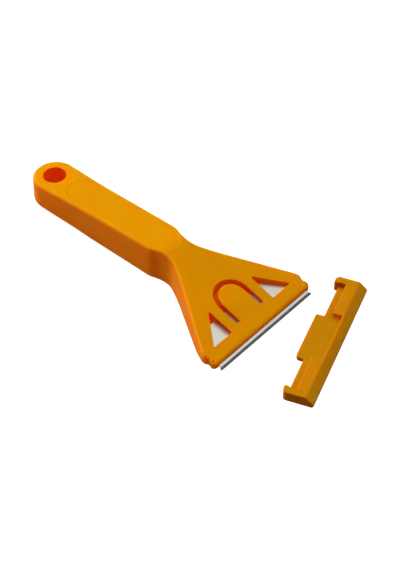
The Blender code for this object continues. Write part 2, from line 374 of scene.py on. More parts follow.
def wire(tree: Tree, *wires: tuple[Node, str | int, Node, str | int]) -> None:
    """Link nodes.

    Args:
        tree: where they are.
        wires: for each link, a node and its output, then a node and its input.
    """
    for giver, output, taker, entry in wires:
        tree.links.new(giver.outputs[output], taker.inputs[entry])


def set_inputs(node: Node, **values: object) -> None:
    """Set a node's inputs by name, with underscores for spaces."""
    for key, value in values.items():
        node.inputs[key.replace("_", " ")].default_value = value


def add_node(tree: Tree, kind: str, **settings: object) -> Node:
    """Add a node and set its properties, and its inputs where a name starts with in_.

    Args:
        tree: where the node goes.
        kind: its Blender type.
        settings: property values, or in_N values for input number N.

    Returns:
        The node.
    """
    made = tree.nodes.new(kind)
    for key, value in settings.items():
        if key.startswith("in_"):
            made.inputs[int(key[3:])].default_value = value
        else:
            setattr(made, key, value)
    return made


def noise(tree: Tree, scale: float = 5.0, detail: float = 2.0,
          roughness: float = 0.5) -> Node:
    """Add a Noise Texture node.

    Args:
        tree: where it goes.
        scale: features per metre.
        detail: octaves.
        roughness: how strong the fine octaves are.

    Returns:
        The node.
    """
    made = tree.nodes.new("ShaderNodeTexNoise")
    set_inputs(made, Scale=scale, Detail=detail, Roughness=roughness)
    return made


def remap(tree: Tree, before: Point2 = (0.0, 1.0),
          after: Point2 = (0.0, 1.0)) -> Node:
    """Add a Map Range node that takes one range to another."""
    return add_node(tree, "ShaderNodeMapRange", in_1=before[0], in_2=before[1], in_3=after[0], in_4=after[1])


def bump(tree: Tree, strength: float, height: float) -> Node:
    """Add a Bump node, its height in metres.

    Args:
        tree: where it goes.
        strength: how strong it is, from 0 to 1.
        height: how tall the relief is, in metres.

    Returns:
        The node.
    """
    made = tree.nodes.new("ShaderNodeBump")
    set_inputs(made, Strength=strength, Distance=height)
    return made


def mix_colour(tree: Tree, low: Colour | None = None, high: Colour | None = None) -> Node:
    """Add a Mix node for colours.

    Args:
        tree: where it goes.
        low: its first colour, or None where a link gives it.
        high: its second colour, or None likewise.

    Returns:
        The node.
    """
    made = add_node(tree, "ShaderNodeMix", data_type="RGBA")
    for socket, colour in ((MIX_A, low), (MIX_B, high)):
        if colour:
            made.inputs[socket].default_value = (*colour, 1.0)
    return made


def new_material(name: str) -> tuple[Material, Tree, Node]:
    """Start a material.

    Args:
        name: the material's name.

    Returns:
        The material, its node tree and its Principled shader.
    """
    made = bpy.data.materials.new(name)
    made.use_nodes = True
    return made, made.node_tree, made.node_tree.nodes["Principled BSDF"]


def math_node(tree: Tree, operation: str, **settings: object) -> Node:
    """Add a Math node."""
    return add_node(tree, "ShaderNodeMath", operation=operation, **settings)


def grain_group() -> Tree:
    """Fine moulded texture: a height for the bump, and a slow tone that drifts over the piece.

    Returns:
        The node group.
    """
    tree, entry, leave = group_tree(
        "moulded_grain", {"Grain Scale": 2600.0, "Drift Scale": 28.0}, "Height", "Drift", "Speckle")
    where = add_node(tree, "ShaderNodeTexCoord")
    fine = noise(tree, detail=3.0, roughness=0.6)
    slow = noise(tree)
    ripple = noise(tree, scale=260.0)
    join = math_node(tree, "MULTIPLY_ADD", in_1=0.65)
    wire(tree, *[(where, "Object", texture, "Vector") for texture in (fine, slow, ripple)],
         (entry, "Grain Scale", fine, "Scale"), (entry, "Drift Scale", slow, "Scale"), (fine, "Fac", join, 0),
         (ripple, "Fac", join, 2), (join, 0, leave, "Height"), (slow, "Fac", leave, "Drift"),
         (fine, "Fac", leave, "Speckle"))
    return tree


def edge_group() -> Tree:
    """Rubbed edges: a mask that rises where the surface turns a corner, and the corner's eased normal.

    Returns:
        The node group.
    """
    tree, entry, leave = group_tree(
        "rubbed_edges", {"Ease": 0.0003, "Reach": 0.0006}, "Mask", normals_out=["Normal"])
    close = add_node(tree, "ShaderNodeBevel", samples=4)
    wide = add_node(tree, "ShaderNodeBevel", samples=4)
    plain = add_node(tree, "ShaderNodeNewGeometry")
    dot = add_node(tree, "ShaderNodeVectorMath", operation="DOT_PRODUCT")
    ramp = remap(tree, (0.995, 0.86))
    where = add_node(tree, "ShaderNodeTexCoord")
    patch = noise(tree, scale=420.0, detail=4.0, roughness=0.65)
    spread = remap(tree, (0.35, 0.62), (0.25, 1.0))
    both = math_node(tree, "MULTIPLY")
    wire(tree, (entry, "Ease", close, "Radius"), (entry, "Reach", wide, "Radius"),
         (wide, "Normal", dot, 0), (plain, "Normal", dot, 1), (dot, "Value", ramp, 0),
         (where, "Object", patch, "Vector"), (patch, "Fac", spread, 0), (ramp, 0, both, 0),
         (spread, 0, both, 1), (both, 0, leave, "Mask"), (close, "Normal", leave, "Normal"))
    return tree


def hollow_shade_group() -> Tree:
    """Painted shade and glow in hollows, standing in for light that has passed through the plastic more than
    once: a mask from ambient occlusion.

    Returns:
        The node group.
    """
    tree, entry, leave = group_tree("painted_hollow_shade", {"Reach": 0.012, "Strength": 1.0}, "Depth")
    shade = add_node(tree, "ShaderNodeAmbientOcclusion", samples=8)
    turn = remap(tree, (0.55, 0.1))
    scale = math_node(tree, "MULTIPLY", use_clamp=True)
    wire(tree, (entry, "Reach", shade, "Distance"), (shade, "AO", turn, 0), (turn, 0, scale, 0),
         (entry, "Strength", scale, 1), (scale, 0, leave, "Depth"))
    return tree


def side_shade_group() -> Tree:
    """Painted shade on upright walls, standing in for the redder light that their thin plastic lets through:
    a mask that falls off on flat tops.

    Returns:
        The node group.
    """
    tree, entry, leave = group_tree("painted_side_shade", {"Upright": 0.15, "Flat": 0.75}, "Side Shade")
    plain = add_node(tree, "ShaderNodeNewGeometry")
    parts = add_node(tree, "ShaderNodeSeparateXYZ")
    size = math_node(tree, "ABSOLUTE")
    ramp = remap(tree, after=(1.0, 0.0))
    wire(tree, (plain, "Normal", parts, 0), (parts, "Z", size, 0), (size, 0, ramp, 0),
         (entry, "Upright", ramp, 1), (entry, "Flat", ramp, 2), (ramp, 0, leave, "Side Shade"))
    return tree


def scratch_group() -> Tree:
    """Fine grinding lines across a blade: a height and a tone.

    Returns:
        The node group.
    """
    tree, entry, leave = group_tree("grinding_lines", {"Along": 60.0, "Across": 3500.0}, "Height", "Tone")
    where = add_node(tree, "ShaderNodeTexCoord")
    parts = add_node(tree, "ShaderNodeSeparateXYZ")
    fast = math_node(tree, "MULTIPLY")
    slow = math_node(tree, "MULTIPLY")
    join = add_node(tree, "ShaderNodeCombineXYZ")
    lines = noise(tree, scale=1.0, detail=3.0, roughness=0.7)
    stain = noise(tree, scale=120.0, detail=3.0, roughness=0.6)
    mix = math_node(tree, "MULTIPLY_ADD", in_1=0.6)
    wire(tree, (where, "Object", parts, 0), (parts, "X", slow, 0), (entry, "Along", slow, 1),
         (parts, "Y", fast, 0), (entry, "Across", fast, 1), (slow, 0, join, "X"), (fast, 0, join, "Y"),
         (join, 0, lines, "Vector"), (where, "Object", stain, "Vector"), (stain, "Fac", mix, 0),
         (lines, "Fac", mix, 2), (lines, "Fac", leave, "Height"), (mix, 0, leave, "Tone"))
    return tree


@dataclass
class ShaderGroups:
    """The node groups that the finishes share, each built once."""

    grain: Tree = field(default_factory=grain_group)
    edges: Tree = field(default_factory=edge_group)
    shade_in_hollows: Tree = field(default_factory=hollow_shade_group)
    shade_on_walls: Tree = field(default_factory=side_shade_group)
    lines: Tree = field(default_factory=scratch_group)

    def put(self, tree: Tree, group: Tree, **values: float) -> Node:
        """Place a group in a material.

        Args:
            tree: the material's node tree.
            group: the group to place.
            values: its inputs, with underscores for spaces.

        Returns:
            The group node.
        """
        made = tree.nodes.new("ShaderNodeGroup")
        made.node_tree = group
        set_inputs(made, **values)
        return made


@dataclass(frozen=True)
class MouldedPlastic:
    """Satin injection-moulded plastic that lets some light through, with painted shade on its upright walls
    and in its hollows and a painted glow in its hollows. Lengths are in metres.
    """

    name: str
    colour: Colour = (0.66, 0.262, 0.0)
    # Painted shade: the darker, redder colour that upright walls take.
    wall: Colour = (0.76, 0.165, 0.0)
    # Painted shade: the darker, redder colour that hollows take.
    hollow_shade_colour: Colour = (0.42, 0.020, 0.0)
    rubbed: Colour = (0.78, 0.34, 0.01)
    # Painted glow: the emission colour that hollows give off.
    glow: Colour = (0.28, 0.005, 0.0)
    # Painted glow and shade: an amount added everywhere to the hollow mask.
    painted_backlight: float = 0.0
    drift: float = 0.07
    wear: float = 0.55
    roughness: Point2 = (0.41, 0.53)
    specular: float = 0.06
    specular_tint: Colour = (1.0, 0.45, 0.02)
    scatter: float = 0.8
    scatter_colour: Colour = (1.0, 0.18, 0.02)
    scatter_reach: float = 0.006
    grain_scale: float = 2400.0
    drift_scale: float = 30.0
    edge_ease: float = 0.00025
    edge_reach: float = 0.0007
    hollow_shade_reach: float = 0.008
    bump_strength: float = 0.10
    bump_height: float = 0.00006

    def make(self, groups: ShaderGroups) -> Material:
        """Build the material.

        Args:
            groups: the shared node groups.

        Returns:
            The material.
        """
        made, tree, shader = new_material(self.name)
        set_inputs(shader, Specular_IOR_Level=self.specular, Specular_Tint=(*self.specular_tint, 1.0),
                   Emission_Strength=1.0, Subsurface_Weight=self.scatter,
                   Subsurface_Radius=self.scatter_colour, Subsurface_Scale=self.scatter_reach)
        grain = groups.put(tree, groups.grain, Grain_Scale=self.grain_scale, Drift_Scale=self.drift_scale)
        edges = groups.put(tree, groups.edges, Ease=self.edge_ease, Reach=self.edge_reach)
        # Painted shade and glow in hollows, and painted shade on upright walls.
        shade_in_hollows = groups.put(tree, groups.shade_in_hollows, Reach=self.hollow_shade_reach)
        shade_on_walls = groups.put(tree, groups.shade_on_walls)
        darker = tuple(c * (1.0 - self.drift) for c in self.colour)
        lighter = tuple(c * (1.0 + self.drift) for c in self.colour)
        tone = mix_colour(tree, darker, lighter)
        # Painted shade: upright walls take the wall colour.
        side = mix_colour(tree, high=self.wall)
        worn = mix_colour(tree, high=self.rubbed)
        # Painted shade: hollows take the deep colour; inner is a painted glow driven by the same mask.
        hollow_shaded = mix_colour(tree, high=self.hollow_shade_colour)
        inner = mix_colour(tree, (0.0, 0.0, 0.0), self.glow)
        wear = math_node(tree, "MULTIPLY", in_1=self.wear)
        shade_and_glow = math_node(tree, "ADD", in_1=self.painted_backlight, use_clamp=True)
        rough = remap(tree, (0.3, 0.7), self.roughness)
        relief = bump(tree, self.bump_strength, self.bump_height)
        wire(tree, (grain, "Drift", tone, 0), (tone, MIX_RESULT, side, MIX_A), (shade_on_walls, "Side Shade", side, 0),
             (side, MIX_RESULT, worn, MIX_A), (edges, "Mask", wear, 0), (wear, 0, worn, 0),
             (worn, MIX_RESULT, hollow_shaded, MIX_A), (shade_in_hollows, "Depth", shade_and_glow, 0), (shade_and_glow, 0, hollow_shaded, 0),
             (hollow_shaded, MIX_RESULT, shader, "Base Color"), (shade_and_glow, 0, inner, 0),
             (inner, MIX_RESULT, shader, "Emission Color"), (grain, "Speckle", rough, 0),
             (rough, 0, shader, "Roughness"), (grain, "Height", relief, "Height"),
             (edges, "Normal", relief, "Normal"), (relief, 0, shader, "Normal"))
        return made


@dataclass(frozen=True)
class GroundSteel:
    """Rolled or ground blade steel with fine lines and faint stains. Lengths are in metres."""

    name: str
    light: Colour
    dark: Colour
    roughness: Point2
    metallic: float = 1.0
    lines_along: float = 90.0
    lines_across: float = 4200.0
    bump_strength: float = 0.12
    bump_height: float = 0.00004

    def make(self, groups: ShaderGroups) -> Material:
        """Build the material.

        Args:
            groups: the shared node groups.

        Returns:
            The material.
        """
        made, tree, shader = new_material(self.name)
        set_inputs(shader, Metallic=self.metallic)
        lines = groups.put(tree, groups.lines, Along=self.lines_along, Across=self.lines_across)
        tone = mix_colour(tree, self.dark, self.light)
        share = remap(tree, (0.45, 1.15))
        rough = remap(tree, (0.3, 0.7), self.roughness)
        relief = bump(tree, self.bump_strength, self.bump_height)
        wire(tree, (lines, "Tone", share, 0), (share, 0, tone, 0),
             (tone, MIX_RESULT, shader, "Base Color"), (lines, "Height", rough, 0),
             (rough, 0, shader, "Roughness"), (lines, "Height", relief, "Height"),
             (relief, 0, shader, "Normal"))
        return made


# ----------------------------------------------------------------------------------------------------- pieces


@dataclass(frozen=True)
class HeadLayers:
    """The head's layers, in millimetres: its sloping top, and the blade on its own gentler slope."""

    level: float = 39.95
    slope: float = -0.299
    blade_level: float = 26.512
    blade_slope: float = -0.208
    gap: float = 0.3
    blade: float = 0.4
    bed: float = 1.4
    blade_back: Point2 = (106.8, 20.3)
    blade_edge: Point2 = (125.2, 30.0)

    @property
    def flare(self) -> float:
        """How much wider each side of the blade gets for each millimetre towards its cutting edge."""
        return (self.blade_edge[1] - self.blade_back[1]) / (self.blade_edge[0] - self.blade_back[0])

    def below(self, depth: float) -> Rule:
        """A height rule that lies a given depth below the head's top."""
        return lambda x: self.level + self.slope * x - depth

    def over_blade(self, rise: float) -> Rule:
        """A height rule that lies a given distance above the top of the blade."""
        return lambda x: self.blade_level + self.blade_slope * x + rise


@dataclass(frozen=True)
class Openings:
    """The openings in the head's top, in millimetres from the hanging hole."""

    arch_x: float = 106.0
    arch_outer: float = 8.85
    arch_inner: float = 6.5
    arch_end: float = 115.5
    arch_steps: int = 28
    root_margin: float = 0.1
    window_inner: float = 13.55
    window_front: float = 116.9
    window_outer: float = 24.9
    window_rear: Point2 = (104.9, 14.15)
    window_round: float = 0.55
    window_corner: float = 0.3
    outer_corner: Point2 = (0.35, 0.42)

    def arch(self) -> list[Vector]:
        """Far half of the arch's outer side, from its crown to the line of the tongue's root."""
        half = arc((self.arch_x, 0.0), self.arch_outer, 180.0, 90.0, self.arch_steps)[1:]
        return [*half, Vector((self.arch_end, self.arch_outer))]

    def at_root(self, point: Vector) -> bool:
        """Say whether a point lies on the tongue's root, where no edge is eased."""
        return abs(point.x - self.arch_end) < TOUCH and abs(point.y) < self.arch_inner + self.root_margin

    def window(self) -> list[Vector]:
        """The far window's outline.

        Returns:
            The outline's points.
        """
        rear = arc(self.window_rear, self.window_round, 225.0, 127.0, 8)
        small = self.window_corner
        outer_place = (self.window_front - self.outer_corner[0], self.window_outer - self.outer_corner[1])
        outer = arc(outer_place, small, 128.0, 0.0, 4)
        inner = arc((self.window_front - small, self.window_inner + small), small, 0.0, -90.0, 4)
        return [*rear, *outer, *inner]


@dataclass
class ScraperBody:
    """The one-piece moulding: handle, neck and head. Sizes are in millimetres from the hanging hole."""

    shop: Workshop
    layers: HeadLayers
    openings: Openings
    rear_radius: float = 10.0
    handle: tuple[Point2, ...] = ((0.0, 10.0), (8.0, 9.75), (20.0, 9.25), (40.0, 9.1), (60.0, 9.05))
    neck: tuple[Point2, ...] = (
        (60.0, 9.05), (65.0, 8.95), (68.0, 7.95), (71.0, 7.15), (74.5, 6.9), (78.0, 7.7), (82.0, 9.7),
        (87.0, 12.7), (92.0, 16.0))
    shoulder: tuple[Point2, ...] = (
        (114.6, 31.0), (116.1, 31.7), (117.4, 31.7), (118.7, 31.1), (119.9, 31.3), (121.1, 31.75))
    corner: tuple[Point2, ...] = ((121.1, 31.75), (122.1, 31.4), (122.7, 30.6), (122.9, 29.4))
    notch: float = 113.0
    handle_level: float = 15.16
    handle_slope: float = 0.043
    crest: float = 1.2
    underside: tuple[Point2, ...] = ((-10.0, 1.9), (8.0, 1.1), (30.0, 0.0), (124.0, 0.0))
    top_fillet: tuple[Point2, ...] = ((-10.0, 1.6), (62.0, 1.6), (78.0, 1.3), (112.0, 1.2), (124.0, 1.2))
    low_fillet: tuple[Point2, ...] = ((-10.0, 2.0), (62.0, 1.4), (78.0, 0.8), (112.0, 0.7), (118.0, 0.4))
    draft: tuple[Point2, ...] = ((66.0, 0.0), (80.0, 0.8), (110.0, 0.8), (116.0, 0.0))
    hole: float = 5.27
    hole_ease: float = 0.45
    skin: float = 0.01
    overcut: float = 1.0
    recess_depth: float = 0.22
    recess_soft: float = 0.8
    recess_radius: float = 7.7
    recess_ends: Point2 = (18.1, 65.3)
    mouth_ease: float = 0.3
    shell: float = 2.0
    bridge: float = 1.0
    roof: float = 2.2
    roof_ease: Point2 = (0.5, 0.15)
    ribs: tuple[float, ...] = (12.1, 38.5, 65.0)
    rib: float = 1.6
    neck_end: float = 94.6
    bed_cell: Point2 = (96.6, 108.0)
    pocket_rear: Point2 = (96.6, 13.5)
    pocket_stop: Point2 = (106.4, 17.0)
    hole_reach: float = 0.3
    hole_steepest: float = 0.6
    bend_steps: int = 8
    chamber_margin: float = 0.3
    chamber_rear: float = 0.6
    window_draft: float = 0.2
    root_step: float = 0.35

    def top(self, x: float) -> float:
        """Height of the top at x: the lower of the handle's and the head's slopes, eased where they meet.

        Args:
            x: distance from the hanging hole.

        Returns:
            The height.
        """
        a = self.handle_level + self.handle_slope * x
        b = self.layers.below(0.0)(x)
        return 0.5 * (a + b - math.hypot(a - b, self.crest))

    def under_top(self, depth: float) -> Rule:
        """A height rule that lies a given depth below the top."""
        return lambda x: self.top(x) - depth

    def over_base(self, rise: float) -> Rule:
        """A height rule that lies a given distance above the underside."""
        return lambda x: lerp_table(self.underside, x) + rise

    def side(self) -> list[Vector]:
        """The far side seen from above, from the rear end to the front corner.

        Returns:
            The outline's points.
        """
        rear = arc((0.0, 0.0), self.rear_radius, 172.5, 93.75, 21)
        handle = spline(self.handle, 4)[:-1]
        neck = spline(self.neck, 8)
        flank = [neck[-1].lerp(Vector(self.shoulder[0]), k / 12) for k in range(1, 12)]
        return [*rear, *handle, *neck, *flank, *spline(self.shoulder, 6)[:-1], *spline(self.corner, 7)]

    def blank(self) -> Object:
        """The outer form, before anything is cut from it.

        Returns:
            The uncut body.
        """
        side = self.side()
        facing = normals(mirrored(side))[:len(side)]
        rings: list[list[Point3]] = []
        for upper in (False, True):
            for k in range(self.bend_steps + 1):
                turn = 0.5 * math.pi * k / self.bend_steps
                far: list[Point3] = []
                for p, n in zip(side, facing):
                    n = n.normalized()
                    if upper:
                        radius = lerp_table(self.top_fillet, p.x)
                        q = p - n * radius * (1.0 - math.cos(turn))
                        z = self.top(q.x) - radius * (1.0 - math.sin(turn))
                    else:
                        radius = lerp_table(self.low_fillet, p.x)
                        q = p + n * (lerp_table(self.draft, p.x) - radius * (1.0 - math.sin(turn)))
                        z = lerp_table(self.underside, q.x) + radius * (1.0 - math.cos(turn))
                    far.append((q.x, q.y, z))
                rings.append([*far, *[(x, -y, z) for x, y, z in reversed(far)]])
        return self.shop.rings("handle_and_head", rings, strips=sum(p.x < self.notch for p in side))

    def hole_tool(self) -> Object:
        """The hanging hole with eased edges.

        Returns:
            The tool.
        """
        circle = arc((0.0, 0.0), self.hole, 0.0, -355.0, 71)
        past, skin = 1.5 * self.overcut, 3.0 * self.skin
        rounding = eased(self.hole_ease, EASED_TURNS)
        stations = [Station(self.hole_ease + past, lambda x: -past),
                    *[Station(out, self.over_base(drop - skin)) for out, drop in reversed(rounding)],
                    *[Station(out, self.under_top(drop - skin)) for out, drop in rounding],
                    Station(self.hole_ease + past, self.under_top(-past))]
        return self.shop.wall("hole_tool", circle, stations)

    def opening_tool(self, name: str, outline: Sequence[Vector], floor: Rule, ease: float = 0.3,
                     draft: float = 0.0, share: Sequence[float] | None = None) -> Object:
        """A tool that cuts an opening in the top with an eased edge.

        Args:
            name: the tool's name.
            outline: the opening seen from above.
            floor: the height that it goes down to.
            ease: the edge's radius.
            draft: how much narrower each side is at the floor.
            share: how much of the easing each point takes.

        Returns:
            The tool.
        """
        rounding = eased(ease, EASED_TURNS)
        stations = [Station(-draft, floor),
                    *[Station(out, self.under_top(drop - self.skin)) for out, drop in rounding],
                    Station(ease + self.overcut, self.under_top(-self.overcut))]
        return self.shop.wall(name, outline, stations, share)

    def recess_tool(self) -> Object:
        """The shallow panel in the handle's top.

        Returns:
            The tool.
        """
        rear, front = self.recess_ends
        r = self.recess_radius
        straight = [Vector((rear + (front - rear) * k / 12, r)) for k in range(1, 12)]
        outline = mirrored([*arc((rear, 0.0), r, 177.0, 90.0, 20), *straight,
                            *arc((front, 0.0), r, 90.0, 3.0, 22)])
        stations: list[Station] = []
        for k in range(self.bend_steps + 1):
            share = k / self.bend_steps
            drop = 0.5 * self.recess_depth * (1.0 + math.cos(math.pi * share))
            stations.append(Station(self.recess_soft * (share - 0.5), self.under_top(drop - 0.5 * self.skin)))
        stations.append(Station(self.recess_soft, self.under_top(-self.overcut)))
        return self.shop.wall("recess_tool", outline, stations, banded=True)

    def cell_tool(self, name: str, start: float, end: float, roof: Rule, steps: int) -> Object:
        """A hollow in the underside, with an eased mouth.

        Args:
            name: the tool's name.
            start: its rear end.
            end: its front end.
            roof: its height at x.
            steps: pieces along it.

        Returns:
            The tool.
        """
        edge = [(p.x, p.y) for p in self.side()]
        rows = [start + (end - start) * k / steps for k in range(steps + 1)]
        far = [Vector((x, lerp_table(edge, x) - self.shell)) for x in rows]
        mouth = reversed(eased(self.mouth_ease, MOUTH_TURNS))
        soft, middle = self.roof_ease
        stations = [Station(self.mouth_ease + self.overcut, lambda x: -self.overcut),
                    *[Station(out, self.over_base(drop - self.skin)) for out, drop in mouth],
                    Station(0.0, lambda x: roof(x) - soft), Station(-middle, lambda x: roof(x) - middle),
                    Station(-soft, roof)]
        return self.shop.wall(name, mirrored(far), stations, banded=True)

    def pocket_tool(self) -> Object:
        """The gap that takes the blade, open at the mouth, with a step for the blade's back edge.

        Returns:
            The tool.
        """
        lay = self.layers
        end = self.corner[-1][0] + 3.0 * self.overcut
        rear_half = lay.blade_back[1] + lay.gap
        mouth = rear_half + lay.flare * (end - self.pocket_stop[0])
        far = [Vector(self.pocket_rear), Vector(self.pocket_stop),
               Vector((self.pocket_stop[0], rear_half)), Vector((end, mouth))]
        stations = [Station(0.0, lay.over_blade(-lay.gap - lay.blade)), Station(0.0, lay.over_blade(lay.gap))]
        return self.shop.wall("pocket_tool", mirrored(far), stations)

    def chamber_tool(self) -> Object:
        """The hollow over the blade that leaves the bridges between the openings thin.

        Returns:
            The tool.
        """
        gates, lay = self.openings, self.layers
        half = gates.window_inner + self.chamber_margin
        far = [Vector((lay.blade_back[0] + self.chamber_rear, half)), Vector((gates.arch_end, half))]
        stations = [Station(0.0, lay.over_blade(0.5 * lay.gap)), Station(0.0, lay.below(self.bridge))]
        return self.shop.wall("chamber_tool", mirrored(far), stations)

    def build(self) -> Object:
        """Build the moulding.

        Returns:
            The finished object, without its material.
        """
        body = self.blank()
        lay, gates = self.layers, self.openings
        roof = self.under_top(self.roof)
        starts = [x + 0.5 * self.rib for x in self.ribs]
        ends = [x - 0.5 * self.rib for x in self.ribs[1:]]
        bed = lay.over_blade(-lay.gap - lay.blade - lay.bed)
        through = lay.over_blade(0.5 * lay.gap)
        arch = mirrored([*gates.arch(), Vector((gates.arch_end, gates.arch_inner + self.root_step)),
                         Vector((gates.arch_end, gates.arch_inner))])
        arch_share = [0.0 if gates.at_root(p) else 1.0 for p in arch]
        window = gates.window()
        near_window = mirrored(window)[len(window):]
        carve(body, [
            self.hole_tool(), self.recess_tool(),
            self.cell_tool("rear_cell_tool", starts[0], ends[0], roof, 8),
            self.cell_tool("middle_cell_tool", starts[1], ends[1], roof, 8),
            self.cell_tool("neck_cell_tool", starts[2], self.neck_end, roof, 40),
            self.cell_tool("bed_cell_tool", *self.bed_cell, bed, 6),
            self.pocket_tool(), self.chamber_tool(),
            self.opening_tool("arch_tool", arch, through, share=arch_share),
            self.opening_tool("far_window_tool", window, through, draft=self.window_draft),
            self.opening_tool("near_window_tool", near_window, through, draft=self.window_draft)])
        finish_surface(body)
        self.mark_hole(body)
        return body

    def mark_hole(self, body: Object) -> None:
        """Give the hanging hole's wall the second material, whose painted glow and shade stand in for the
        light that comes through the plastic around it.

        Args:
            body: the carved moulding.
        """
        axis = self.shop.place(0.0, 0.0, 0.0)
        limit = (self.hole + self.hole_reach) * MM
        for face in body.data.polygons:
            out = math.hypot(face.center.x - axis.x, face.center.y - axis.y)
            if out < limit and abs(face.normal.z) < self.hole_steepest:
                face.material_index = 1


@dataclass
class SpringTongue:
    """The springy tongue inside the arch, rooted at its front."""

    shop: Workshop
    layers: HeadLayers
    openings: Openings
    ease: float = 0.3
    low_ease: float = 0.2
    thick: float = 1.4
    rows: int = 16
    bend: float = 4.0

    def build(self) -> Object:
        """Build the tongue, with enough cross rows to bend.

        Returns:
            The finished object, without its material.
        """
        gates = self.openings
        crown = arc((gates.arch_x, 0.0), gates.arch_inner, 177.0, 90.0, gates.arch_steps)
        legs = [Vector((gates.arch_x + (gates.arch_end - gates.arch_x) * k / self.rows, gates.arch_inner))
                for k in range(1, self.rows + 1)]
        outline = mirrored([*crown, *legs])
        share = [0.0 if gates.at_root(p) else 1.0 for p in outline]
        below = self.layers.below
        stations = [Station(-self.low_ease, below(self.thick)),
                    Station(0.0, below(self.thick - self.low_ease)),
                    *[Station(-out, below(drop)) for out, drop in eased(self.ease, (*EASED_TURNS, 90.0))]]
        tongue = self.shop.wall("spring_tongue_skin", outline, stations, share, banded=True)
        finish_surface(tongue)
        return tongue


@dataclass
class Blade:
    """The steel blade: a thin plate, wider at its cutting edge, ground from above."""

    shop: Workshop
    layers: HeadLayers
    ground: float = 1.15
    keen: float = 0.05
    soft: float = 0.06
    front_row: float = 6.0
    columns: int = 24

    def build(self) -> Object:
        """Build the blade with a second material slot on its ground strip.

        Returns:
            The finished object, without its materials.
        """
        lay, soft = self.layers, self.soft
        back, edge = lay.blade_back[0], lay.blade_edge[0]
        top, bottom = 0.0, lay.blade
        ground = edge - self.ground
        row = ground - self.front_row
        profile = [(back, bottom - soft), (back, top + soft), (back + soft, top), (row, top), (ground, top),
                   (edge, bottom - self.keen), (edge, bottom), (row, bottom), (back + soft, bottom)]
        rings: list[list[Point3]] = []
        for k in range(self.columns + 1):
            share = 2.0 * k / self.columns - 1.0
            rings.append([(x, share * (lay.blade_back[1] + lay.flare * (x - back)), lay.over_blade(-depth)(x))
                          for x, depth in profile])
        blade = self.shop.rings("ground_blade", rings)
        limit = self.shop.place(ground, 0.0, 0.0).x
        for face in blade.data.polygons:
            if face.center.x > limit and face.normal.z > 0.0:
                face.material_index = 1
        return blade


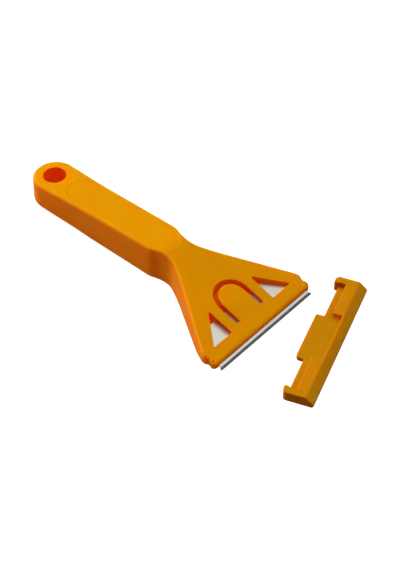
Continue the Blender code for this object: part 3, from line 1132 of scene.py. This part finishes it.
@dataclass
class BladeGuard:
    """The loose guard: a channel with a base, a front wall, two lips, two end caps and a middle tab.

    Its own u runs away from the blade and its v along the guard, in millimetres from its middle.
    """

    shop: Workshop
    place: Point2 = (154.85, 12.80)
    turn: float = 19.9
    half: float = 35.8
    base: float = 2.2
    height: float = 5.3
    front: tuple[Point2, ...] = ((0.0, -0.7), (0.9, 0.2), (2.0, 0.2), (5.3, -3.3))
    wall_back: float = -4.1
    base_back: float = -12.05
    lip_back: float = -8.6
    lip: float = 1.0
    middle: Point2 = (-13.0, 13.8)
    cap_back: float = -13.9
    cap_inner: float = 32.4
    cap_round: float = 2.4
    hook: float = 0.5
    hook_length: float = 2.2
    tab_back: float = -15.75
    tab_rounds: Point2 = (1.6, 0.7)
    ease: float = 0.32
    ease_steps: int = 3
    round_steps: int = 7
    flat_angle: float = 1.0
    ease_angle: float = 28.0
    crisp_angle: float = 40.0
    corner_reach: float = 0.01

    def at(self, u: float, v: float, z: float) -> Point3:
        """Turn the guard's own u, v and z into millimetres from the hanging hole.

        Args:
            u: distance away from the blade.
            v: distance along the guard.
            z: height.

        Returns:
            The place.
        """
        a = math.radians(self.turn)
        return (self.place[0] + u * math.cos(a) - v * math.sin(a),
                self.place[1] + u * math.sin(a) + v * math.cos(a), z)

    def solid(self, u: float, v: float, z: float) -> bool:
        """Say whether the guard has plastic at a place.

        Args:
            u: distance away from the blade.
            v: distance along the guard.
            z: height.

        Returns:
            True inside the plastic.
        """
        across = abs(v)
        middle = self.middle[0] < v < self.middle[1]
        cap = across > self.cap_inner and u > self.cap_back
        hook = across > self.cap_inner - self.hook and self.cap_back < u < self.cap_back + self.hook_length
        wall = u > self.wall_back
        lip = z > self.height - self.lip and u > self.lip_back and not middle
        floor = z < self.base and (u > self.base_back or middle)
        return cap or hook or wall or lip or floor

    def cells(self) -> Mesh:
        """Build the guard's skin from a grid of full and empty cells.

        Returns:
            A closed mesh with flat faces and sharp edges.
        """
        us = sorted({self.tab_back, self.cap_back, self.base_back, self.cap_back + self.hook_length,
                     self.lip_back, self.wall_back, self.front[1][1]})
        ends = [self.half, self.cap_inner, self.cap_inner - self.hook]
        vs = [-v for v in ends] + list(self.middle) + ends[::-1]
        zs = sorted({z for z, _ in self.front} | {self.base, self.height - self.lip})
        bm = bmesh.new()
        made: dict[tuple[int, int, int], Corner] = {}

        def corner(i: int, j: int, k: int) -> Corner:
            """Get or make the grid's corner i, j, k.

            Args:
                i: its number across the guard.
                j: its number along it.
                k: its number upwards.

            Returns:
                The corner.
            """
            if (i, j, k) not in made:
                u = lerp_table(self.front, zs[k]) if i == len(us) - 1 else us[i]
                made[i, j, k] = bm.verts.new(self.shop.place(*self.at(u, vs[j], zs[k])))
            return made[i, j, k]

        def full(i: int, j: int, k: int) -> bool:
            """Say whether the cell i, j, k is full.

            Args:
                i: its number across the guard.
                j: its number along it.
                k: its number upwards.

            Returns:
                True where the guard has plastic.
            """
            if not (0 <= i < len(us) - 1 and 0 <= j < len(vs) - 1 and 0 <= k < len(zs) - 1):
                return False
            return self.solid(*(0.5 * (row[n] + row[n + 1]) for row, n in ((us, i), (vs, j), (zs, k))))

        sides = {(1, 0, 0): ((1, 0, 0), (1, 1, 0), (1, 1, 1), (1, 0, 1)),
                 (-1, 0, 0): ((0, 0, 0), (0, 0, 1), (0, 1, 1), (0, 1, 0)),
                 (0, 1, 0): ((0, 1, 0), (0, 1, 1), (1, 1, 1), (1, 1, 0)),
                 (0, -1, 0): ((0, 0, 0), (1, 0, 0), (1, 0, 1), (0, 0, 1)),
                 (0, 0, 1): ((0, 0, 1), (1, 0, 1), (1, 1, 1), (0, 1, 1)),
                 (0, 0, -1): ((0, 0, 0), (0, 1, 0), (1, 1, 0), (1, 0, 0))}
        for i in range(len(us) - 1):
            for j in range(len(vs) - 1):
                for k in range(len(zs) - 1):
                    if not full(i, j, k):
                        continue
                    for (di, dj, dk), corners in sides.items():
                        if not full(i + di, j + dj, k + dk):
                            bm.faces.new([corner(i + a, j + b, k + c) for a, b, c in corners])
        flat = math.radians(self.flat_angle)
        bmesh.ops.dissolve_limit(bm, angle_limit=flat, verts=bm.verts, edges=bm.edges)
        return bm

    def round_upright(self, bm: Mesh, u: float, v: float, radius: float) -> None:
        """Round the upright edges over one corner of the guard's plan.

        Args:
            bm: the guard's mesh.
            u: the corner's place away from the blade.
            v: its place along the guard.
            radius: the rounding's radius.
        """
        foot = self.shop.place(*self.at(u, v, 0.0)).xy
        reach = self.corner_reach * MM
        edges = [e for e in bm.edges if all((q.co.xy - foot).length < reach for q in e.verts)]
        bmesh.ops.bevel(bm, geom=edges, offset=radius * MM, segments=self.round_steps, profile=0.5,
                        affect="EDGES")

    def build(self) -> Object:
        """Build the guard.

        Returns:
            The finished object, without its material.
        """
        bm = self.cells()
        for v, radius in zip(self.middle, self.tab_rounds):
            self.round_upright(bm, self.tab_back, v, radius)
        for v in (-self.half, self.half):
            self.round_upright(bm, self.cap_back, v, self.cap_round)
        guard = self.shop.add("guard_channel", bm)
        soft = guard.modifiers.new("eased_edges", "BEVEL")
        soft.width = self.ease * MM
        soft.segments = self.ease_steps
        soft.limit_method = "ANGLE"
        soft.angle_limit = math.radians(self.ease_angle)
        soft.use_clamp_overlap = False
        settle(guard)
        finish_surface(guard, self.crisp_angle)
        return guard


# ----------------------------------------------------------------------------------------------------- studio


@dataclass
class Studio:
    """Pale floor, soft light and the camera."""

    shop: Workshop
    azimuth: float = 41.216
    elevation: float = 45.674
    distance: float = 868.3
    lens: float = 125.583158
    sensor: float = 36.0
    target: Point2 = (85.175, 2.006)
    clip: Point2 = (0.01, 50.0)
    lamp_distance: float = 1.5
    floor_size: float = 6.0
    floor_rows: int = 24
    floor_flat: float = 1.2
    floor_dish: float = 0.3
    floor_gap: float = 0.00002
    floor_cloud: float = 1.06
    floor_tone: float = 0.40
    floor_glow: float = 0.85
    surround: float = 0.16

    def floor(self) -> Object:
        """A pale sweep under the object, gently dished up far away so that it has no horizon.

        Returns:
            The floor object.
        """
        rows = self.floor_rows
        bm = bmesh.new()
        grid: list[list[Corner]] = []
        for i in range(rows + 1):
            line: list[Corner] = []
            for j in range(rows + 1):
                x = (i / rows - 0.5) * self.floor_size
                y = (j / rows - 0.5) * self.floor_size
                rise = max(0.0, math.hypot(x, y) - self.floor_flat) ** 2 * self.floor_dish
                line.append(bm.verts.new((x, y, rise - self.floor_gap)))
            grid.append(line)
        for a, b in zip(grid, grid[1:]):
            for k in range(rows):
                bm.faces.new((a[k], b[k], b[k + 1], a[k + 1]))
        made = self.shop.add("studio_floor", bm)
        made.data.shade_smooth()
        material, tree, shader = new_material("pale_floor")
        set_inputs(shader, Roughness=0.9, Specular_IOR_Level=0.1)
        where = add_node(tree, "ShaderNodeTexCoord")
        cloud = noise(tree, scale=3.0)
        tone = mix_colour(tree, (self.floor_tone,) * 3, (self.floor_tone * self.floor_cloud,) * 3)
        wire(tree, (where, "Object", cloud, "Vector"), (cloud, "Fac", tone, 0),
             (tone, MIX_RESULT, shader, "Base Color"))
        seen = add_node(tree, "ShaderNodeLightPath")
        glow = add_node(tree, "ShaderNodeEmission", in_1=self.floor_glow)
        both = add_node(tree, "ShaderNodeAddShader")
        choose = add_node(tree, "ShaderNodeMixShader")
        wire(tree, (shader, 0, both, 0), (glow, 0, both, 1), (seen, "Is Camera Ray", choose, 0),
             (shader, 0, choose, 1), (both, 0, choose, 2),
             (choose, 0, tree.nodes["Material Output"], "Surface"))
        made.data.materials.append(material)
        return made

    def lamp(self, name: str, direction: Point3, size: float, power: float) -> None:
        """Hang one soft square lamp.

        Args:
            name: its name.
            direction: where it hangs, as seen from the object.
            size: its side in metres.
            power: its power in watts.
        """
        light = bpy.data.lights.new(name, "AREA")
        light.shape = "SQUARE"
        light.size = size
        light.energy = power
        lamp = bpy.data.objects.new(name, light)
        towards = Vector(direction).normalized()
        lamp.location = towards * self.lamp_distance
        lamp.rotation_mode = "QUATERNION"
        lamp.rotation_quaternion = (-towards).to_track_quat("-Z", "Y")
        bpy.context.scene.collection.objects.link(lamp)

    def light(self) -> None:
        """Set the soft surround and the lamps."""
        world = bpy.data.worlds.new("soft_surround")
        world.use_nodes = True
        backdrop = world.node_tree.nodes["Background"]
        set_inputs(backdrop, Color=(1.0, 1.0, 1.0, 1.0), Strength=self.surround)
        bpy.context.scene.world = world
        self.lamp("key_left", direction=(-0.90, -0.26, 0.40), size=0.8, power=21.0)
        self.lamp("overhead", direction=(0.12, 0.12, 1.0), size=1.5, power=21.0)
        bpy.context.scene.view_settings.view_transform = "Standard"

    def camera(self) -> Object:
        """Set up the camera.

        Returns:
            The camera object, made the scene's camera.
        """
        a, e = math.radians(self.azimuth), math.radians(self.elevation)
        forward = Vector((-math.sin(a) * math.cos(e), math.cos(a) * math.cos(e), -math.sin(e)))
        data = bpy.data.cameras.new("camera")
        data.sensor_width = self.sensor
        data.lens = self.lens
        made = bpy.data.objects.new("camera", data)
        made.location = self.shop.place(self.target[0], self.target[1], 0.0) - forward * self.distance * MM
        made.rotation_mode = "QUATERNION"
        made.rotation_quaternion = forward.to_track_quat("-Z", "Y")
        data.clip_start, data.clip_end = self.clip
        bpy.context.scene.collection.objects.link(made)
        bpy.context.scene.camera = made
        return made


def hand_over(piece: Object, node: str, slot: Slot,
              materials: Sequence[Material]) -> None:
    """Give a piece its materials and hide the frame's node that it replaces.

    Args:
        piece: the piece.
        node: the frame's node that it replaces.
        slot: not used.
        materials: one material for each slot of its mesh.
    """
    marks = [min(face.material_index, len(materials) - 1) for face in piece.data.polygons]
    piece.data.materials.clear()
    for material in materials:
        piece.data.materials.append(material)
    piece.data.polygons.foreach_set("material_index", marks)
    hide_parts(node)
    LOG.info("%s: %d faces", piece.name, len(piece.data.polygons))


def main() -> None:
    logging.basicConfig(level=logging.INFO, format="%(name)s %(message)s")
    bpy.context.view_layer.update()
    low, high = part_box("scraper_body")
    layers, openings = HeadLayers(), Openings()
    front = ScraperBody.corner[-1][0]
    shop = Workshop(hole_x=high[0] - front * MM, middle_y=0.5 * (low[1] + high[1]))
    groups = ShaderGroups()
    plastic = MouldedPlastic("satin_orange_plastic").make(groups)
    # Painted glow and shade for the hanging hole's wall, as if lit from behind.
    painted_glow_plastic = MouldedPlastic("painted_glow_orange_plastic", hollow_shade_colour=(0.50, 0.025, 0.0), glow=(0.31, 0.016, 0.0),
                            painted_backlight=0.75).make(groups)
    # The guard's wall colour is painted shade on its upright faces.
    guard_plastic = MouldedPlastic("guard_orange_plastic", colour=(0.47, 0.20, 0.002), wall=(0.36, 0.11, 0.0),
                                   rubbed=(0.60, 0.28, 0.02)).make(groups)
    steel = GroundSteel("rolled_steel", light=(0.56, 0.58, 0.52), dark=(0.45, 0.47, 0.42),
                        roughness=(0.36, 0.50), metallic=0.55).make(groups)
    # Painted shade: the ground bevel is drawn dark grey and not metallic so that it looks shaded.
    bevel = GroundSteel("painted_dark_bevel", light=(0.10, 0.10, 0.098), dark=(0.05, 0.05, 0.049),
                        roughness=(0.54, 0.68), metallic=0.0).make(groups)

    body = ScraperBody(shop, layers, openings).build()
    hand_over(body, "scraper_body", Slot.PLASTIC, [plastic, painted_glow_plastic])
    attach(body, Body.SCRAPER.value)

    tongue = SpringTongue(shop, layers, openings).build()
    hand_over(tongue, "spring_tongue", Slot.TONGUE, [plastic])
    head_top = layers.below(0.0)
    start, end = (tuple(shop.place(x, 0.0, head_top(x)))
                  for x in (openings.arch_end, openings.arch_end - SpringTongue.bend))
    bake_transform(tongue)

    blade = Blade(shop, layers).build()
    hand_over(blade, "blade", Slot.STEEL, [steel, bevel])
    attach(blade, Body.BLADE.value)

    guard = BladeGuard(shop).build()
    hand_over(guard, "blade_guard", Slot.GUARD, [guard_plastic])
    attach(guard, Body.GUARD.value)

    studio = Studio(shop)
    studio.floor()
    studio.light()
    studio.camera()


if __name__ == "__main__":
    main()
